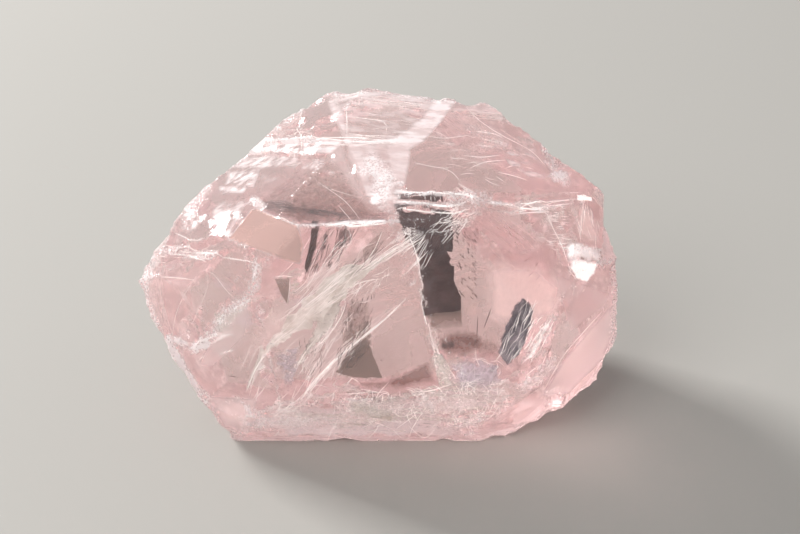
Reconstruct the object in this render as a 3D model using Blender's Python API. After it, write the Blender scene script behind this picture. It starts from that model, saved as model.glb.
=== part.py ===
"""A rough, glassy, pale pink crystal, about 50 mm long, as it was broken from the rock.

The stone is one solid, made the way it came about: a block is cleaved along flat planes, ledges
split off along some of its ridges, shell-shaped scoops and small chips are struck out of it, and
it lies on its broadest face, at z = 0.

Metres, +Z up, +X along the stone, -Y towards its glassiest face. The origin is at the middle of the
stone's bounding box, on the surface that it lies on. Facets are given by the direction that they
face, as a compass azimuth from +X and a slope above the horizon, in degrees, and by their reach,
the distance from the heart of the stone to the facet's plane, in millimetres.
"""
import math
import random

import bmesh
import bpy
from mathutils import Euler, Matrix, Vector

MM = 0.001
STONE_NAME = "rough_diamond"
HEART = Vector((0.0, 0.0, 15.0 * MM))
ROUGH_BLOCK = 90.0 * MM

# Flat cleavage and fracture faces: name: (azimuth, slope, reach).
FACETS = {
    # the top, from right to left
    "crown_right": (-37, 69, 17.5),
    "crown_middle": (-60, 79, 16.6),
    "crown_left": (-102, 76, 16.75),
    "crown_far_left": (-174, 62, 18.4),
    "crown_tip": (170, 74, 18.2),
    "brow_right": (4, 57, 21.6),
    "shoulder_left": (-158, 37, 20.2),
    # the glassy front
    "front_left": (-94, 5, 14.8),
    "front_right": (-64, 16, 16.2),
    "window_left": (-115, 22, 18.9),
    "cheek_left": (-134, 8, 18.9),
    "flank_left": (-124, -2, 17.9),
    "heel_left": (-120, -21, 19.5),
    "shoulder_right": (-44, 16, 19.9),
    "cheek_right": (-41, 0, 20.2),
    "undercut_front": (-90, -34, 15.8),
    "undercut_right": (-74, -27, 17.0),
    "undercut_corner": (-33, -52, 21.6),
    # the two ends
    "nose_right": (5, 3, 24.8),
    "nose_left": (172, 28, 23.6),
    "chin_left": (-170, -20, 24.0),
    "chin_left_low": (-168, -32, 22.2),
    "chin_left_back": (171, -25, 21.8),
    # the back
    "back_roof": (82, 40, 17.2),
    "back_roof_right": (36, 35, 20.5),
    "back_roof_left": (140, 35, 17.7),
    "back_shoulder_left": (150, 25, 19.0),
    "back_left": (118, 8, 19.5),
    "back_right": (62, 2, 20.0),
    "undercut_back": (95, -35, 19.5),
    "undercut_back_left": (150, -35, 21.0),
    "undercut_back_right": (25, -40, 21.5),
}

# Ledges split off along a ridge: the tread lies `drop` below its facet and parallel to it, the riser
# is a plane of its own, and the ends are the planes that stop the ledge on either side.
LEDGES = {
    "ridge_step_high": dict(facet="crown_right", drop=0.7, riser=(-71, 12, 13.6),
                            ends=[(204, 0, 3.0), (24, 0, 4.8)]),
    "ridge_step_middle": dict(facet="crown_right", drop=1.4, riser=(-71, 13, 14.8),
                              ends=[(200, 0, 3.4), (28, 0, 3.4)]),
    "ridge_step_low": dict(facet="crown_right", drop=2.1, riser=(-69, 15, 15.7),
                           ends=[(204, 0, 3.6), (20, 0, 3.0)]),
    "ridge_lip_high": dict(facet="crown_right", drop=0.3, riser=(-62, 14, 15.1),
                           ends=[(204, 0, -5.4), (30, 0, 14.5)]),
    "ridge_lip_low": dict(facet="crown_right", drop=0.6, riser=(-63, 16, 15.7),
                          ends=[(204, 0, -6.0), (20, 0, 13.4)]),
    "brow_step_high": dict(facet="crown_far_left", drop=0.6, riser=(-135, 4, 6.1),
                           ends=[(-45, 0, 14.0)]),
    "brow_step_middle": dict(facet="crown_far_left", drop=1.1, riser=(-132, 8, 7.4),
                             ends=[(-45, 0, 12.5)]),
    "brow_step_low": dict(facet="crown_far_left", drop=1.6, riser=(-138, 2, 7.7),
                          ends=[(-50, 0, 9.5)]),
    "cheek_lip": dict(facet="shoulder_left", drop=0.6, riser=(-132, 6, 17.9),
                      ends=[(-45, 0, 6.0)]),
    "nose_notch": dict(facet="brow_right", drop=5.8, riser=(0, 0, 23.1),
                       ends=[(-80, 0, 12.0)]),
    "back_step_high": dict(facet="back_roof_left", drop=0.8, riser=(118, 12, 17.6),
                           ends=[(28, 0, 6.0)]),
    "back_step_low": dict(facet="back_roof_left", drop=1.7, riser=(121, 10, 18.7),
                          ends=[(34, 0, 3.0)]),
    "nose_step": dict(facet="nose_right", drop=0.7, riser=(92, -4, 4.4),
                      ends=[(0, 80, 12.0)]),
}

# Scoops: shallow shell-shaped hollows struck out of one facet. `at` is the middle of the hollow on
# the facet, across and up from the foot of the heart's perpendicular; size is its width, height and
# depth; and turn is the angle of its width from level.
SCOOPS = {
    "arch": dict(facet="crown_left", at=(-2.4, -7.6), size=(17.5, 9.6, 0.9), turn=12),
    "shell_shoulder": dict(facet="shoulder_left", at=(1.2, -0.6), size=(8.5, 6.0, 0.9), turn=-20),
    "shell_brow": dict(facet="shoulder_left", at=(1.6, 3.4), size=(7.0, 4.0, 0.7), turn=-15),
    "notch_right": dict(facet="shoulder_right", at=(2.0, 4.5), size=(7.0, 9.5, 1.1), turn=0),
    "heel_shell": dict(facet="heel_left", at=(-2.0, -5.0), size=(9.0, 6.5, 0.8), turn=10),
    "undercut_shell": dict(facet="undercut_right", at=(5.0, -1.0), size=(10.0, 6.0, 0.8), turn=-15),
    "back_shell_large": dict(facet="back_roof", at=(-3.0, 2.0), size=(21.0, 15.0, 2.0), turn=15),
    "back_shell_low": dict(facet="back_left", at=(3.0, -4.0), size=(15.0, 12.0, 1.5), turn=-30),
    "back_shell_right": dict(facet="back_right", at=(2.0, 1.0), size=(16.0, 11.0, 1.4), turn=35),
    "back_shell_corner": dict(facet="undercut_back", at=(4.0, 1.0), size=(12.0, 8.0, 1.0), turn=20),
    "nose_shell": dict(facet="nose_right", at=(4.0, -3.0), size=(11.0, 9.0, 1.0), turn=0),
    "chin_shell": dict(facet="chin_left", at=(0.0, 2.0), size=(12.0, 9.0, 1.1), turn=20),
}

# Chips that nibble the ridges. Fresh ridges are chipped here and there, blunt ones not at all; the worn
# ones, named by the two facets that meet in them, are chipped all along.
CHIP_SEED = 21
CHIP_SPACING = 4.6 * MM
CHIP_RADIUS = (1.4 * MM, 6.0 * MM)
CHIP_BITE = (0.15 * MM, 0.6 * MM)
WORN_RIDGES = [
    ("cheek_left", "flank_left"),
    ("shoulder_left", "cheek_left"),
    ("shoulder_right", "cheek_right"),
    ("flank_left", "heel_left"),
    ("nose_right", "shoulder_right"),
]
WORN_SPACING = 1.9 * MM
BLUNT_RIDGE = math.radians(15.0)

# The crystal's look: pale pink, clear, with a glassy surface.
PINK = (0.86, 0.60, 0.58, 1.0)
CLEARNESS = 0.9
REFRACTIVE_INDEX = 1.54
GLASSY_ROUGHNESS = 0.08


def facing(azimuth, slope):
    """Unit vector of the direction that a facet faces."""
    turn, rise = math.radians(azimuth), math.radians(slope)
    return Vector((math.cos(rise) * math.cos(turn), math.cos(rise) * math.sin(turn), math.sin(rise)))


def plane(azimuth, slope, reach):
    """Outward normal of a plane, and the foot of the heart's perpendicular on it."""
    normal = facing(azimuth, slope)
    return normal, HEART + normal * reach * MM


def facet_frame(name):
    """Foot point, level direction, uphill direction and outward normal of a named facet."""
    normal, foot = plane(*FACETS[name])
    across = Vector((0.0, 0.0, 1.0)).cross(normal).normalized()
    return foot, across, normal.cross(across), normal


def cleave(block, normal, foot):
    """Split off what lies outside a plane, and close the break with one flat face."""
    everything = block.verts[:] + block.edges[:] + block.faces[:]
    split = bmesh.ops.bisect_plane(block, geom=everything, dist=0.001 * MM, plane_co=foot, plane_no=normal,
                                   clear_outer=True)
    rim = [part for part in split["geom_cut"] if isinstance(part, bmesh.types.BMEdge)]
    if rim:
        bmesh.ops.contextual_create(block, geom=rim)


def cleaved_block(planes):
    """Convex block bounded by planes, each an outward normal and a point on it."""
    block = bmesh.new()
    bmesh.ops.create_cube(block, size=ROUGH_BLOCK, matrix=Matrix.Translation(HEART))
    for normal, foot in planes:
        cleave(block, normal, foot)
    bmesh.ops.recalc_face_normals(block, faces=block.faces)
    return block


def add_object(name, shape, collection):
    """Put a bmesh into the scene as an object, and free it."""
    mesh = bpy.data.meshes.new(name)
    shape.to_mesh(mesh)
    shape.free()
    piece = bpy.data.objects.new(name, mesh)
    collection.objects.link(piece)
    return piece


def stone_block():
    """The stone as its flat faces bound it, lying on its broadest break."""
    resting_face = (Vector((0.0, 0.0, -1.0)), Vector((0.0, 0.0, 0.0)))
    return cleaved_block([resting_face] + [plane(*facet) for facet in FACETS.values()])


def ledge_cutter(facet, drop, riser, ends):
    """What splits off over a ledge: the block above its tread, before its riser, between its ends."""
    azimuth, slope, reach = FACETS[facet]
    tread_normal, tread_foot = plane(azimuth, slope, reach - drop)
    riser_normal, riser_foot = plane(*riser)
    sides = [plane(*end) for end in ends]
    return cleaved_block([(-tread_normal, tread_foot), (-riser_normal, riser_foot)] + sides)


def scoop_cutter(facet, at, size, turn):
    """Flattened ball that strikes one shell-shaped hollow."""
    foot, level, uphill, normal = facet_frame(facet)
    across, up = at
    width, height, depth = size
    radius = (width * width / 4.0 + depth * depth) / (2.0 * depth)
    middle = foot + (across * level + up * uphill + (radius - depth) * normal) * MM
    facing_out = Matrix((level, uphill, normal)).transposed().to_4x4()
    placing = Matrix.Translation(middle) @ facing_out @ Matrix.Rotation(math.radians(turn), 4, "Z")
    shape = bmesh.new()
    bmesh.ops.create_icosphere(shape, subdivisions=4, radius=radius * MM,
                               matrix=placing @ Matrix.Diagonal((1.0, height / width, 1.0, 1.0)))
    return shape


def facet_of(face):
    """Name of the facet that a face of the block is."""
    return max(FACETS, key=lambda name: facing(*FACETS[name][:2]).dot(face.normal))


def chip_cutter(point, outward, dice):
    """Lumpy ball that bites one small chip out of a ridge at a point."""
    radius = dice.uniform(*CHIP_RADIUS)
    bite = dice.uniform(*CHIP_BITE)
    lumps = Matrix.Diagonal((1.0, dice.uniform(0.55, 0.95), dice.uniform(0.4, 0.8), 1.0))
    tumble = Euler([dice.uniform(0.0, math.tau) for _ in range(3)]).to_matrix().to_4x4()
    ball = tumble @ lumps
    support = radius * (ball.to_3x3().transposed() @ outward).length
    shape = bmesh.new()
    bmesh.ops.create_icosphere(shape, subdivisions=2, radius=radius,
                               matrix=Matrix.Translation(point + outward * (support - bite)) @ ball)
    return shape


def ridge_chips(block):
    """Chip cutters spread along the ridges of the block."""
    dice = random.Random(CHIP_SEED)
    worn = [set(pair) for pair in WORN_RIDGES]
    for ridge in block.edges:
        start, end = (corner.co for corner in ridge.verts)
        outward = sum((face.normal for face in ridge.link_faces), Vector()).normalized()
        is_worn = {facet_of(face) for face in ridge.link_faces} in worn
        if ridge.calc_face_angle() < BLUNT_RIDGE and not is_worn:
            continue
        count = round((end - start).length / (WORN_SPACING if is_worn else CHIP_SPACING))
        for index in range(count):
            along = (index + dice.uniform(0.15, 0.85)) / count
            yield chip_cutter(start.lerp(end, along), outward, dice)


def crystal_material():
    """Clear pale pink gem material."""
    material = bpy.data.materials.new("pale_pink_crystal")
    material.use_nodes = True
    shader = material.node_tree.nodes["Principled BSDF"]
    shader.inputs["Base Color"].default_value = PINK
    shader.inputs["Metallic"].default_value = 0.0
    shader.inputs["Roughness"].default_value = GLASSY_ROUGHNESS
    shader.inputs["IOR"].default_value = REFRACTIVE_INDEX
    shader.inputs["Transmission Weight"].default_value = CLEARNESS
    return material


def strike(stone, cutters):
    """Take every cutter's volume off the stone, and leave the result as the stone's own mesh."""
    cut = stone.modifiers.new("breaks", "BOOLEAN")
    cut.operation = "DIFFERENCE"
    cut.solver = "EXACT"
    cut.operand_type = "COLLECTION"
    cut.collection = cutters
    bpy.context.view_layer.update()
    broken = bpy.data.meshes.new_from_object(stone.evaluated_get(bpy.context.evaluated_depsgraph_get()))
    stone.modifiers.remove(cut)
    stone.data = broken


def clean_and_centre(stone, cutters):
    """Merge slivers, triangulate, and centre the box on the origin, the cutters with it."""
    shape = bmesh.new()
    shape.from_mesh(stone.data)
    bmesh.ops.remove_doubles(shape, verts=shape.verts, dist=0.02 * MM)
    bmesh.ops.dissolve_limit(shape, angle_limit=math.radians(0.2), verts=shape.verts, edges=shape.edges)
    bmesh.ops.triangulate(shape, faces=shape.faces)
    spans = [[corner.co[axis] for corner in shape.verts] for axis in range(3)]
    middle = Vector([(min(span) + max(span)) / 2.0 for span in spans])
    to_centre = Vector((-middle.x, -middle.y, 0.0))
    bmesh.ops.translate(shape, verts=shape.verts, vec=to_centre)
    shape.to_mesh(stone.data)
    shape.free()
    for cutter in cutters.objects:
        cutter.location = to_centre


for leftover in list(bpy.data.objects):
    bpy.data.objects.remove(leftover)

stone_collection = bpy.data.collections.new(STONE_NAME)
cutter_collection = bpy.data.collections.new("cutters")
for collection in (stone_collection, cutter_collection):
    bpy.context.scene.collection.children.link(collection)

block = stone_block()
for number, chip in enumerate(ridge_chips(block)):
    add_object(f"chip_{number:03}", chip, cutter_collection)
for name, ledge in LEDGES.items():
    add_object(f"ledge_{name}", ledge_cutter(**ledge), cutter_collection)
for name, scoop in SCOOPS.items():
    add_object(f"scoop_{name}", scoop_cutter(**scoop), cutter_collection)
for cutter in cutter_collection.objects:
    cutter.display_type = "WIRE"
    cutter.hide_render = True

stone = add_object(STONE_NAME, block, stone_collection)
strike(stone, cutter_collection)
clean_and_centre(stone, cutter_collection)
stone.data.materials.append(crystal_material())
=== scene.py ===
import math
import random

import bmesh
import bpy
import numpy as np
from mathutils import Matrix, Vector, noise
from mathutils.bvhtree import BVHTree
from mathutils.geometry import delaunay_2d_cdt
from mathutils.kdtree import KDTree


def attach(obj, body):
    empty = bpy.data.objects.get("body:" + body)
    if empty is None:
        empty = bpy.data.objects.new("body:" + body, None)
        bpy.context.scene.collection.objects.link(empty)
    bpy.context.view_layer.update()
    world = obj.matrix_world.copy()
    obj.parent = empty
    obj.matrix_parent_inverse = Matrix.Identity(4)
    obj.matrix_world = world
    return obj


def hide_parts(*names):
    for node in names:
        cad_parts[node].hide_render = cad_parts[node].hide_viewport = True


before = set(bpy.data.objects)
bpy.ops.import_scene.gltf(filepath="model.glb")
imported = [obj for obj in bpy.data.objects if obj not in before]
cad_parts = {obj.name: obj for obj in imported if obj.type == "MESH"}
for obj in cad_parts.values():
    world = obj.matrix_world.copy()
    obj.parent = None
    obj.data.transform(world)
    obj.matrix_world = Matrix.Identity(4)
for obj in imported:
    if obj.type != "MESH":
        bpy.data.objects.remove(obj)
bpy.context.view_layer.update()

MM = 0.001

# The camera looks down a little on the glassiest face of the stone, from the height of someone
# sitting at the table.
IMAGE_WIDTH, IMAGE_HEIGHT = 800, 534
LENS_MM, SENSOR_MM = 90.0, 36.0
CAMERA_DISTANCE = 210.6 * MM
CAMERA_RISE = math.radians(30.0)
STONE_HEART = Vector((-0.195, -3.447, 15.0)) * MM
HEART_PIXEL = Vector((378.0, 275.0))
PIXELS_PER_SLOPE = LENS_MM / SENSOR_MM * IMAGE_WIDTH

to_camera = Vector((0.0, -math.cos(CAMERA_RISE), math.sin(CAMERA_RISE)))
camera_data = bpy.data.cameras.new("camera")
camera_data.lens = LENS_MM
camera_data.sensor_width = SENSOR_MM
camera_data.shift_x = (IMAGE_WIDTH / 2 - HEART_PIXEL.x) / IMAGE_WIDTH
camera_data.shift_y = (HEART_PIXEL.y - IMAGE_HEIGHT / 2) / IMAGE_WIDTH
camera_data.clip_start = 10.0 * MM
camera = bpy.data.objects.new("camera", camera_data)
camera.location = STONE_HEART + to_camera * CAMERA_DISTANCE
camera_turn = (-to_camera).to_track_quat("-Z", "Y")
camera.rotation_euler = camera_turn.to_euler()
bpy.context.scene.collection.objects.link(camera)
bpy.context.scene.camera = camera


# The stone: one broken crystal. Its solid is copied and every flat face is filled with small even
# triangles; then chips are struck off the ridges and the faces ripple a little, always inwards, as
# fresh breaks in glassy stone do.
TRIANGLE_EDGE = 0.29 * MM
MERGE_DISTANCE = 0.002 * MM
SAME_FACE_ANGLE = math.radians(0.4)
RIM_GAP = 0.62 * TRIANGLE_EDGE
RIDGE_ANGLE = math.radians(13.0)
SHARP_ANGLE = math.radians(24.0)
CHIP_SEED = 5
CHIP_SPACING = 0.75 * MM
CHIP_RADIUS = (0.5 * MM, 2.2 * MM)
CHIP_BITE = (0.05 * MM, 0.24 * MM)
CHIP_SWAY = 0.5
GROUND_CLEARANCE = 0.8 * MM
RESTING_RIM = 0.3 * MM
# Ripples of the flat faces: (width in millimetres, depth in millimetres, shift of the pattern).
RIPPLES = ((6.0, 0.06, Vector((2.0, 9.0, 4.0))), (1.7, 0.010, Vector((5.0, 1.0, 8.0))))
WORN_REACH_MM = 0.7


def joined_faces(node):
    """Bmesh of a frame node, its loose triangles merged and its flat faces made whole."""
    shape = bmesh.new()
    shape.from_mesh(node.data)
    bmesh.ops.remove_doubles(shape, verts=shape.verts, dist=MERGE_DISTANCE)
    shape.normal_update()
    bmesh.ops.dissolve_limit(shape, angle_limit=SAME_FACE_ANGLE, verts=shape.verts, edges=shape.edges)
    return shape


def split_edge(edge, parts):
    """Cut one edge into equal parts."""
    start = edge.verts[0]
    for left in range(parts, 1, -1):
        cut_off, middle = bmesh.utils.edge_split(edge, start, 1.0 / left)
        edge = next(other for other in middle.link_edges if other is not cut_off)
        start = middle


def even_grid(low, high, pitch):
    """Points of a triangular grid over a rectangle."""
    rows = []
    for number, height in enumerate(np.arange(low[1], high[1], pitch * math.sqrt(0.75))):
        along = np.arange(low[0] + (number % 2) * pitch / 2, high[0], pitch)
        rows.append(np.stack([along, np.full_like(along, height)], axis=1))
    return np.concatenate(rows) if rows else np.zeros((0, 2))


def clear_of(points, rim, gap):
    """The points that are further than gap from every rim point."""
    kept = [part[((part[:, None] - rim[None]) ** 2).sum(axis=2).min(axis=1) > gap * gap]
            for part in np.array_split(points, len(points) // 1000 + 1)]
    return np.concatenate(kept)


def finely_meshed(shape):
    """New mesh with the same flat faces, each filled with small even triangles."""
    for edge in list(shape.edges):
        split_edge(edge, math.ceil(edge.calc_length() / TRIANGLE_EDGE))
    shape.verts.index_update()
    points = [corner.co.copy() for corner in shape.verts]
    triangles = []
    for face in shape.faces:
        corners = [corner.index for corner in face.verts]
        level = face.normal.orthogonal().normalized()
        rise = face.normal.cross(level)
        start = face.verts[0].co
        rim = np.array([((corner.co - start).dot(level), (corner.co - start).dot(rise))
                        for corner in face.verts])
        filling = clear_of(even_grid(rim.min(axis=0), rim.max(axis=0), TRIANGLE_EDGE), rim, RIM_GAP)
        flat_points = [Vector(point) for point in rim] + [Vector(point) for point in filling]
        spots, _, pieces, sources, _, _ = delaunay_2d_cdt(
            flat_points, [], [list(range(len(corners)))], 1, 1e-9)
        numbers = {}
        for spot in {spot for piece in pieces for spot in piece}:
            source = min(sources[spot], default=len(corners))
            if source < len(corners):
                numbers[spot] = corners[source]
            else:
                numbers[spot] = len(points)
                points.append(start + level * spots[spot].x + rise * spots[spot].y)
        triangles += [[numbers[spot] for spot in piece] for piece in pieces]
    mesh = bpy.data.meshes.new("crystal")
    mesh.from_pydata(points, [], triangles)
    return mesh


def ridge_corners(mesh):
    """Numbers of the vertices that lie on a ridge of the mesh."""
    shape = bmesh.new()
    shape.from_mesh(mesh)
    ridge = {corner.index for edge in shape.edges
             if edge.is_convex and edge.calc_face_angle() > RIDGE_ANGLE for corner in edge.verts}
    shape.free()
    return sorted(ridge)


def tree_of(points):
    """Search tree over some points."""
    tree = KDTree(len(points))
    for number, point in enumerate(points):
        tree.insert(point, number)
    tree.balance()
    return tree


def swell(mesh):
    """Let the flat faces ripple by a few hundredths of a millimetre, inwards only."""
    normals = [corner.normal.copy() for corner in mesh.vertices]
    for corner, normal in zip(mesh.vertices, normals):
        spot = corner.co / MM
        depth = sum(deep * (0.5 + 0.5 * noise.noise(spot / wide + shift)) for wide, deep, shift in RIPPLES)
        corner.co -= normal * depth * MM * min(1.0, corner.co.z / GROUND_CLEARANCE)


def strike_ridges(mesh, ridge):
    """Strike small shell-shaped chips off the ridges."""
    chance = random.Random(CHIP_SEED)
    places = [corner.co.copy() for corner in mesh.vertices]
    normals = [corner.normal.copy() for corner in mesh.vertices]
    tree = tree_of(places)
    order = list(ridge)
    chance.shuffle(order)
    free = np.ones(len(places), bool)
    for number in order:
        if not free[number] or places[number].z < GROUND_CLEARANCE:
            continue
        size = chance.random() ** 2
        radius = CHIP_RADIUS[0] + size * (CHIP_RADIUS[1] - CHIP_RADIUS[0])
        bite = CHIP_BITE[0] + size * chance.random() * (CHIP_BITE[1] - CHIP_BITE[0])
        sway = Vector([chance.uniform(-CHIP_SWAY, CHIP_SWAY) for _ in range(3)])
        middle = places[number] + (normals[number] + sway).normalized() * (radius - bite)
        for _, near, _ in tree.find_range(places[number], CHIP_SPACING * (0.5 + size)):
            free[near] = False
        for _, near, _ in tree.find_range(middle, radius):
            corner = mesh.vertices[near]
            away = corner.co - middle
            if away.length < radius and corner.co.z > RESTING_RIM:
                corner.co = middle + away.normalized() * radius


rough_shape = joined_faces(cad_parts["rough_diamond"])
clean_faces = BVHTree.FromBMesh(rough_shape)
stone_mesh = finely_meshed(rough_shape)
rough_shape.free()
ridge = ridge_corners(stone_mesh)
ridge_tree = tree_of([stone_mesh.vertices[number].co for number in ridge])
ridge_distance = np.array([ridge_tree.find(corner.co)[2] for corner in stone_mesh.vertices]) / MM
swell(stone_mesh)
strike_ridges(stone_mesh, ridge)
stone_mesh.shade_smooth()
stone_mesh.set_sharp_from_angle(angle=SHARP_ANGLE)
crystal = bpy.data.objects.new("crystal", stone_mesh)
bpy.context.scene.collection.objects.link(crystal)

# Where each point of the stone lies in the view that its marks are laid out in, in pixels.
spots = np.array([corner.co[:] for corner in stone_mesh.vertices])
directions = np.array([corner.normal[:] for corner in stone_mesh.vertices])
from_eye = spots - np.array(camera.location)
turned = from_eye @ np.array(camera_turn.to_matrix())
pixels = np.stack([HEART_PIXEL.x - turned[:, 0] / turned[:, 2] * PIXELS_PER_SLOPE,
                   HEART_PIXEL.y + turned[:, 1] / turned[:, 2] * PIXELS_PER_SLOPE], axis=1)
FACING_SHARPNESS = 6.0
head_on = -(directions * from_eye).sum(axis=1) / np.linalg.norm(from_eye, axis=1)
facing = np.clip(head_on * FACING_SHARPNESS, 0.0, 1.0)


def line_distance(points, path):
    """Distance in pixels of each point to an open path."""
    nearest = np.full(len(points), 1e9)
    for start, end in zip(path, path[1:]):
        start, along = np.array(start, float), np.array(end, float) - np.array(start, float)
        share = np.clip(((points - start) @ along) / (along @ along), 0.0, 1.0)
        nearest = np.minimum(nearest, np.linalg.norm(points - start - share[:, None] * along, axis=1))
    return nearest


def patch_depth(points, outline):
    """How far inside a closed outline each point is, in pixels; negative outside."""
    closed = list(outline) + [outline[0]]
    inside = np.zeros(len(points), bool)
    for (x0, y0), (x1, y1) in zip(closed, closed[1:]):
        crosses = (y0 > points[:, 1]) != (y1 > points[:, 1])
        if y1 != y0:
            inside ^= crosses & (points[:, 0] < (x1 - x0) * (points[:, 1] - y0) / (y1 - y0) + x0)
    return np.where(inside, 1.0, -1.0) * line_distance(points, closed)


# Frosted places: (outline, softness in pixels, strength).
FROST_PATCHES = [
    ([(320, 92), (457, 101), (413, 148), (403, 188), (397, 222), (368, 203), (350, 147)], 5, 0.37),
    ([(345, 143), (411, 143), (407, 175), (400, 195), (396, 219), (378, 205), (362, 178)], 5, 0.37),
    ([(398, 146), (424, 142), (443, 120), (457, 101), (434, 100), (422, 117), (398, 133)], 4, 0.62),
    ([(335, 91), (390, 91), (457, 101), (440, 106), (345, 99)], 5, 0.52),
    ([(328, 97), (345, 111), (348, 140), (336, 122)], 4, 0.42),
    ([(258, 139), (300, 138), (299, 150), (250, 154), (242, 151)], 5, 0.85),
    ([(303, 138), (343, 141), (331, 153), (303, 154)], 5, 0.85),
    ([(238, 157), (298, 152), (298, 164), (262, 169), (234, 168)], 5, 0.5),
    ([(300, 162), (328, 159), (316, 169), (302, 170)], 5, 0.5),
    ([(228, 172), (260, 169), (254, 187), (226, 184)], 6, 0.68),
    ([(218, 186), (247, 185), (245, 193), (220, 194)], 5, 0.6),
    ([(262, 172), (282, 178), (274, 182), (256, 190)], 4, 0.3),
    ([(211, 207), (224, 201), (252, 200), (241, 213), (230, 240), (212, 225)], 8, 0.46),
    ([(498, 142), (530, 146), (546, 164), (525, 169), (505, 155)], 8, 0.34),
    ([(503, 155), (516, 161), (531, 169), (546, 175), (566, 169), (574, 174), (555, 183), (530, 179),
      (508, 164)], 4, 0.5),
    # Painted highlight: this white frost whitens the notch on the right-hand edge along with the
    # painted-highlight films.
    ([(567, 243), (600, 250), (599, 262), (568, 262)], 5, 0.70),
    ([(236, 420), (262, 408), (300, 404), (330, 416), (290, 438), (240, 436)], 10, 0.34),
    ([(338, 394), (372, 400), (425, 396), (440, 412), (396, 420), (352, 416)], 9, 0.20),
    ([(440, 396), (500, 386), (512, 404), (474, 428), (448, 420)], 10, 0.22),
]
# Bright worn lines: (path, width in pixels, strength).
FROST_LINES = [
    ([(297, 226), (350, 222), (400, 221)], 1.6, 0.8),
    ([(395, 192), (467, 195)], 1.6, 0.8),
    ([(395, 202), (453, 205)], 1.6, 0.8),
    ([(492, 203), (547, 207)], 1.5, 0.6),
    ([(345, 141), (411, 141)], 2.0, 0.9),
    ([(170, 337), (188, 346), (206, 345)], 3.5, 0.75),
    ([(169, 345), (181, 366), (195, 388)], 4.0, 0.75),
]
# Crumbled places, full of tiny chips: (path, width in pixels, strength).
CRUMBLED = [
    ([(256, 264), (256, 285), (243, 300), (222, 316), (212, 335), (196, 350)], 5.5, 1.0),
    ([(150, 262), (144, 280), (142, 300), (152, 322)], 8.0, 0.9),
    ([(168, 345), (178, 362), (190, 384), (204, 402)], 7.0, 1.0),
    ([(455, 200), (482, 198)], 9.0, 1.0),
    ([(254, 200), (262, 206)], 5.0, 0.9),
    ([(160, 250), (212, 256)], 6.0, 0.6),
    ([(205, 188), (190, 208), (188, 226)], 8.0, 0.7),
    ([(470, 128), (500, 142), (470, 150)], 8.0, 0.5),
    ([(546, 150), (556, 172), (566, 182)], 6.0, 0.9),
    ([(566, 244), (600, 252), (604, 268)], 6.0, 0.6),
    ([(522, 388), (540, 378), (552, 362)], 7.0, 0.8),
    ([(553, 316), (541, 338), (524, 360)], 5.0, 0.7),
    ([(612, 262), (616, 300), (612, 352)], 5.0, 0.7),
    ([(240, 400), (252, 412), (262, 422)], 5.0, 0.4),
    ([(233, 160), (262, 136), (300, 112)], 6.0, 0.6),
    ([(345, 408), (370, 412), (392, 406)], 9.0, 0.5),
    ([(430, 404), (452, 410), (470, 402)], 8.0, 0.5),
    ([(440, 426), (462, 424), (480, 418)], 7.0, 0.45),
    ([(258, 424), (290, 420), (320, 424)], 7.0, 0.5),
    ([(372, 162), (384, 175), (380, 198)], 9.0, 0.5),
]
# Smooth milky places: (outline, softness in pixels, strength).
MILKY_PATCHES = [
    ([(200, 392), (262, 396), (250, 436), (222, 430)], 8, 0.34),
    ([(612, 300), (562, 358), (538, 398), (570, 396), (606, 360), (616, 330)], 5, 0.30),
    ([(222, 300), (258, 296), (250, 340), (215, 372), (190, 372)], 10, 0.25),
    ([(544, 262), (620, 290), (612, 310), (566, 345)], 10, 0.2),
    ([(322, 142), (345, 142), (350, 160), (366, 190), (371, 206), (358, 200), (345, 182), (328, 162)],
     6, 0.22),
    ([(438, 100), (456, 100), (443, 120), (432, 133), (420, 145), (411, 150), (394, 147), (386, 141),
      (402, 132), (418, 122), (430, 110)], 3, 0.40),
    ([(347, 142), (411, 144), (410, 165), (406, 187), (400, 196), (396, 214), (380, 206), (368, 203),
      (362, 186), (352, 170), (346, 155)], 3, 0.16),
    ([(411, 143), (410, 165), (405, 188), (393, 180), (388, 160), (386, 144)], 2, 0.38),
    ([(347, 143), (362, 143), (364, 160), (370, 178), (372, 196), (366, 198), (354, 172), (347, 156)],
     2, 0.30),
    ([(331, 98), (345, 110), (348, 142), (341, 138), (335, 122), (327, 105)], 3, 0.28),
]
# One facet is even and a little yellower than the rest: (outline, softness in pixels, strength).
PEACH_PATCH = [
    ([(228, 239), (251, 209), (257, 208), (298, 226), (304, 245), (301, 264), (292, 263), (252, 248)],
     2, 0.80),
]
EVEN_FACET = 0.3
# Planes with nothing broken on them: (outline, softness in pixels, strength).
CLEAN_PLANES = [
    ([(229, 240), (251, 211), (297, 227), (303, 262), (288, 261), (252, 249)], 3, 1.0),
    ([(462, 99), (478, 94), (500, 114), (548, 149), (528, 148), (500, 134), (478, 120)], 3, 1.0),
    ([(178, 262), (222, 268), (240, 276), (226, 300), (196, 330), (168, 320), (160, 285)], 3, 1.0),
    ([(303, 113), (326, 104), (337, 127), (342, 137), (268, 137), (284, 125)], 3, 1.0),
]


def patched(patches, rim=0.0):
    """How strongly patches cover every vertex; rim is the share that is there on an outline itself."""
    return np.maximum.reduce([strength * np.clip(patch_depth(pixels, outline) / soft + rim, 0.0, 1.0)
                              for outline, soft, strength in patches])


def lined(lines, reach):
    """How strongly lines cover every vertex; reach is how many of its widths a line fades out in."""
    return np.maximum.reduce([strength * np.clip(reach - line_distance(pixels, path) / width, 0.0, 1.0)
                              for path, width, strength in lines])


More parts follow.
